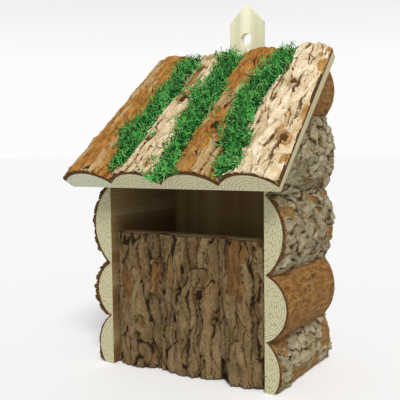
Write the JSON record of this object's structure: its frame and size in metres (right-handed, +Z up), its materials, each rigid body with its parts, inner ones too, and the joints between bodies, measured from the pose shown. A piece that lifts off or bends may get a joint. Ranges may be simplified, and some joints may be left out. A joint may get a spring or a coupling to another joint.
{
  "type": "open-fronted bird nest box",
  "caption": "Open-fronted wooden bird nest box with half-log walls, a low slab front, a sloping bark roof with moss strips and a rear batten with a hanging hole.",
  "frame": {"origin": "on the underside of the floor board, in the middle of the clear width and of the walls' depth", "axes": "+Z up, +Y towards the wall that the box hangs on, +X to the right of someone facing the front"},
  "size_m": [0.1627, 0.1245, 0.2598],
  "materials": {
    "log_wood": "sawn, unfinished",
    "board_wood": "sawn, unfinished",
    "hanger_wood": "planed, unfinished",
    "grey_bark": "rough flaky bark",
    "orange_bark": "smooth inner bark",
    "brown_bark": "thick rough bark",
    "cream_bark": "flaky bark in plates",
    "furrowed_bark": "deeply furrowed bark",
    "moss": "dried dyed moss, matt",
    "nail_steel": "bright wire"
  },
  "bodies": {
    "root": {"back_board": "board_wood", "floor_board": "board_wood", "hanger": "hanger_wood", "roof_batten": "board_wood", "right_log_1": "log_wood", "right_log_2": "log_wood", "right_log_3": "log_wood", "right_log_4": "log_wood", "right_log_5": "log_wood", "left_log_1": "log_wood", "left_log_2": "log_wood", "left_log_3": "log_wood", "left_log_4": "log_wood", "left_log_5": "log_wood", "right_bark_1": "grey_bark", "right_bark_2": "orange_bark", "right_bark_3": "grey_bark", "right_bark_4": "grey_bark", "right_bark_5": "orange_bark", "left_bark_1": "orange_bark", "left_bark_2": "brown_bark", "left_bark_3": "brown_bark", "left_bark_4": "brown_bark", "left_bark_5": "orange_bark", "front_slab_1": "log_wood", "front_slab_2": "log_wood", "front_slab_3": "log_wood", "front_bark_1": "furrowed_bark", "front_bark_2": "furrowed_bark", "front_bark_3": "furrowed_bark", "roof_slab_1": "log_wood", "roof_slab_2": "log_wood", "roof_slab_3": "log_wood", "roof_slab_4": "log_wood", "roof_bark_1": "orange_bark", "roof_bark_2": "cream_bark", "roof_bark_3": "orange_bark", "roof_bark_4": "cream_bark", "moss_strip_1": "moss", "moss_strip_2": "moss", "moss_strip_3": "moss", "wall_nails": "nail_steel", "floor_nails": "nail_steel", "front_nails": "nail_steel", "roof_nails": "nail_steel", "hanger_nails": "nail_steel"}
  },
  "joints": []
}
